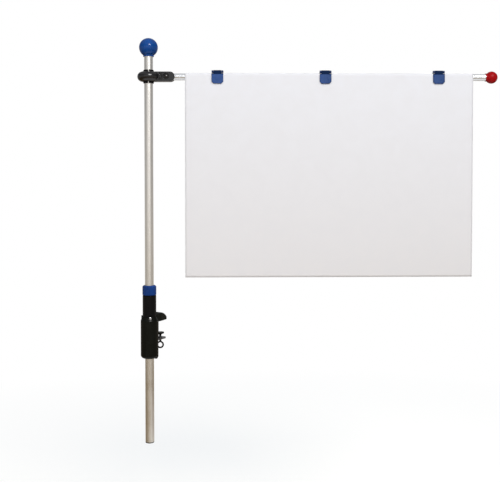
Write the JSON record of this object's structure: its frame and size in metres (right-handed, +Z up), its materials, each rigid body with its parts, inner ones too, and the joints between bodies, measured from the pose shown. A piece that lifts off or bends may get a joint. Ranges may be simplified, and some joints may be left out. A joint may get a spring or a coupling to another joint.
{
  "type": "tabletop plan holder",
  "caption": "Table-clamped upright pole with a swivelling, height-adjustable arm whose sliding spring clips hang a large sheet.",
  "frame": {"origin": "middle of the upper jaw's underside, on the plane of the table top that the clamp grips", "axes": "+Z up along the pole, +Y from the pole into the table; at rest the arm points 35 degrees from +X towards +Y"},
  "size_m": [0.6165, 0.4423, 0.8365],
  "materials": {
    "black_plastic": "gloss",
    "blue_plastic": "gloss",
    "red_plastic": "gloss",
    "aluminium": "satin anodised",
    "steel": "zinc plated",
    "dark_steel": "blackened",
    "rubber": "matt",
    "paper": "matt paper"
  },
  "bodies": {
    "clamp": {"clamp_body": "black_plastic", "holder_sleeve": "black_plastic", "sleeve_screws": "steel", "jaw_pad": "rubber", "lower_bracket": "dark_steel", "bracket_screws": "steel"},
    "pad": {"pressure_pad": "black_plastic"},
    "screw": {"clamp_screw": "dark_steel"},
    "collet": {"collet_ring": "black_plastic"},
    "collar": {"collar_nut": "blue_plastic"},
    "liner": {"pole_liner": "black_plastic"},
    "pole": {"pole_tube": "aluminium", "pole_end_plug": "black_plastic", "top_ball": "blue_plastic"},
    "bush": {"split_bush": "black_plastic"},
    "arm": {"hub_front_shell": "black_plastic", "hub_rear_shell": "black_plastic", "arm_screw": "dark_steel", "arm_nut": "steel", "arm_tube": "aluminium", "arm_ball": "red_plastic"},
    "clip_1": {"clip_1_saddle": "blue_plastic", "clip_1_pin": "steel", "clip_1_spring": "steel"},
    "flap_1": {"clip_1_flap": "blue_plastic"},
    "clip_2": {"clip_2_saddle": "blue_plastic", "clip_2_pin": "steel", "clip_2_spring": "steel"},
    "flap_2": {"clip_2_flap": "blue_plastic"},
    "clip_3": {"clip_3_saddle": "blue_plastic", "clip_3_pin": "steel", "clip_3_spring": "steel"},
    "flap_3": {"clip_3_flap": "blue_plastic"},
    "sheet": {"plan_sheet": "paper"}
  },
  "joints": [
    {"name": "pad_lift", "type": "slide", "parent": "clamp", "child": "pad", "axis": [0, 0, 1], "range_m": [-0.0053, 0.0034]},
    {"name": "screw_turn", "type": "hinge", "parent": "pad", "child": "screw", "pos_m": [0, 0.004, -0.04], "axis": [0, 0, 1], "range_deg": [-2385.2, 1530.1]},
    {"name": "collet_lift", "type": "slide", "parent": "clamp", "child": "collet", "axis": [0, 0, 1], "range_m": [0, 0.0012]},
    {"name": "collar_turn", "type": "hinge", "parent": "collet", "child": "collar", "pos_m": [0, -0.03, 0.068], "axis": [0, 0, 1], "range_deg": [0, 288.1]},
    {"name": "pole_turn", "type": "hinge", "parent": "clamp", "child": "liner", "pos_m": [0, -0.03, 0], "axis": [0, 0, 1], "continuous": true},
    {"name": "pole_lift", "type": "slide", "parent": "liner", "child": "pole", "axis": [0, 0, 1], "range_m": [-0.15, 0.15]},
    {"name": "hub_height", "type": "slide", "parent": "pole", "child": "bush", "axis": [0, 0, 1], "range_m": [-0.25, 0.025]},
    {"name": "arm_swivel", "type": "hinge", "parent": "bush", "child": "arm", "pos_m": [0, -0.03, 0.5075], "axis": [0, 0, 1], "continuous": true},
    {"name": "clip_1_slide", "type": "slide", "parent": "arm", "child": "clip_1", "axis": [0.8192, 0.5736, 0], "range_m": [-0.07, 0.09]},
    {"name": "clip_1_open", "type": "hinge", "parent": "clip_1", "child": "flap_1", "pos_m": [0.11966, 0.04585, 0.5173], "axis": [-0.8192, -0.5736, 0], "range_deg": [0, 80], "stiffness_Nm_per_rad": 0.02, "springref_deg": -34.38},
    {"name": "clip_2_slide", "type": "slide", "parent": "arm", "child": "clip_2", "axis": [0.8192, 0.5736, 0], "range_m": [-0.1, 0.1]},
    {"name": "clip_2_open", "type": "hinge", "parent": "clip_2", "child": "flap_2", "pos_m": [0.30164, 0.17328, 0.5173], "axis": [-0.8192, -0.5736, 0], "range_deg": [0, 80], "stiffness_Nm_per_rad": 0.02, "springref_deg": -34.38},
    {"name": "clip_3_slide", "type": "slide", "parent": "arm", "child": "clip_3", "axis": [0.8192, 0.5736, 0], "range_m": [-0.095, 0.08]},
    {"name": "clip_3_open", "type": "hinge", "parent": "clip_3", "child": "flap_3", "pos_m": [0.49335, 0.30751, 0.5173], "axis": [-0.8192, -0.5736, 0], "range_deg": [0, 80], "stiffness_Nm_per_rad": 0.02, "springref_deg": -34.38},
    {"name": "sheet_pull", "type": "slide", "parent": "arm", "child": "sheet", "axis": [0, 0, -1], "range_m": [0, 0.03]}
  ],
  "couplings": [
    {"joint": "screw_turn", "follows": "pad_lift", "rad_per_m": 7854},
    {"joint": "collar_turn", "follows": "collet_lift", "rad_per_m": 4188.8}
  ]
}
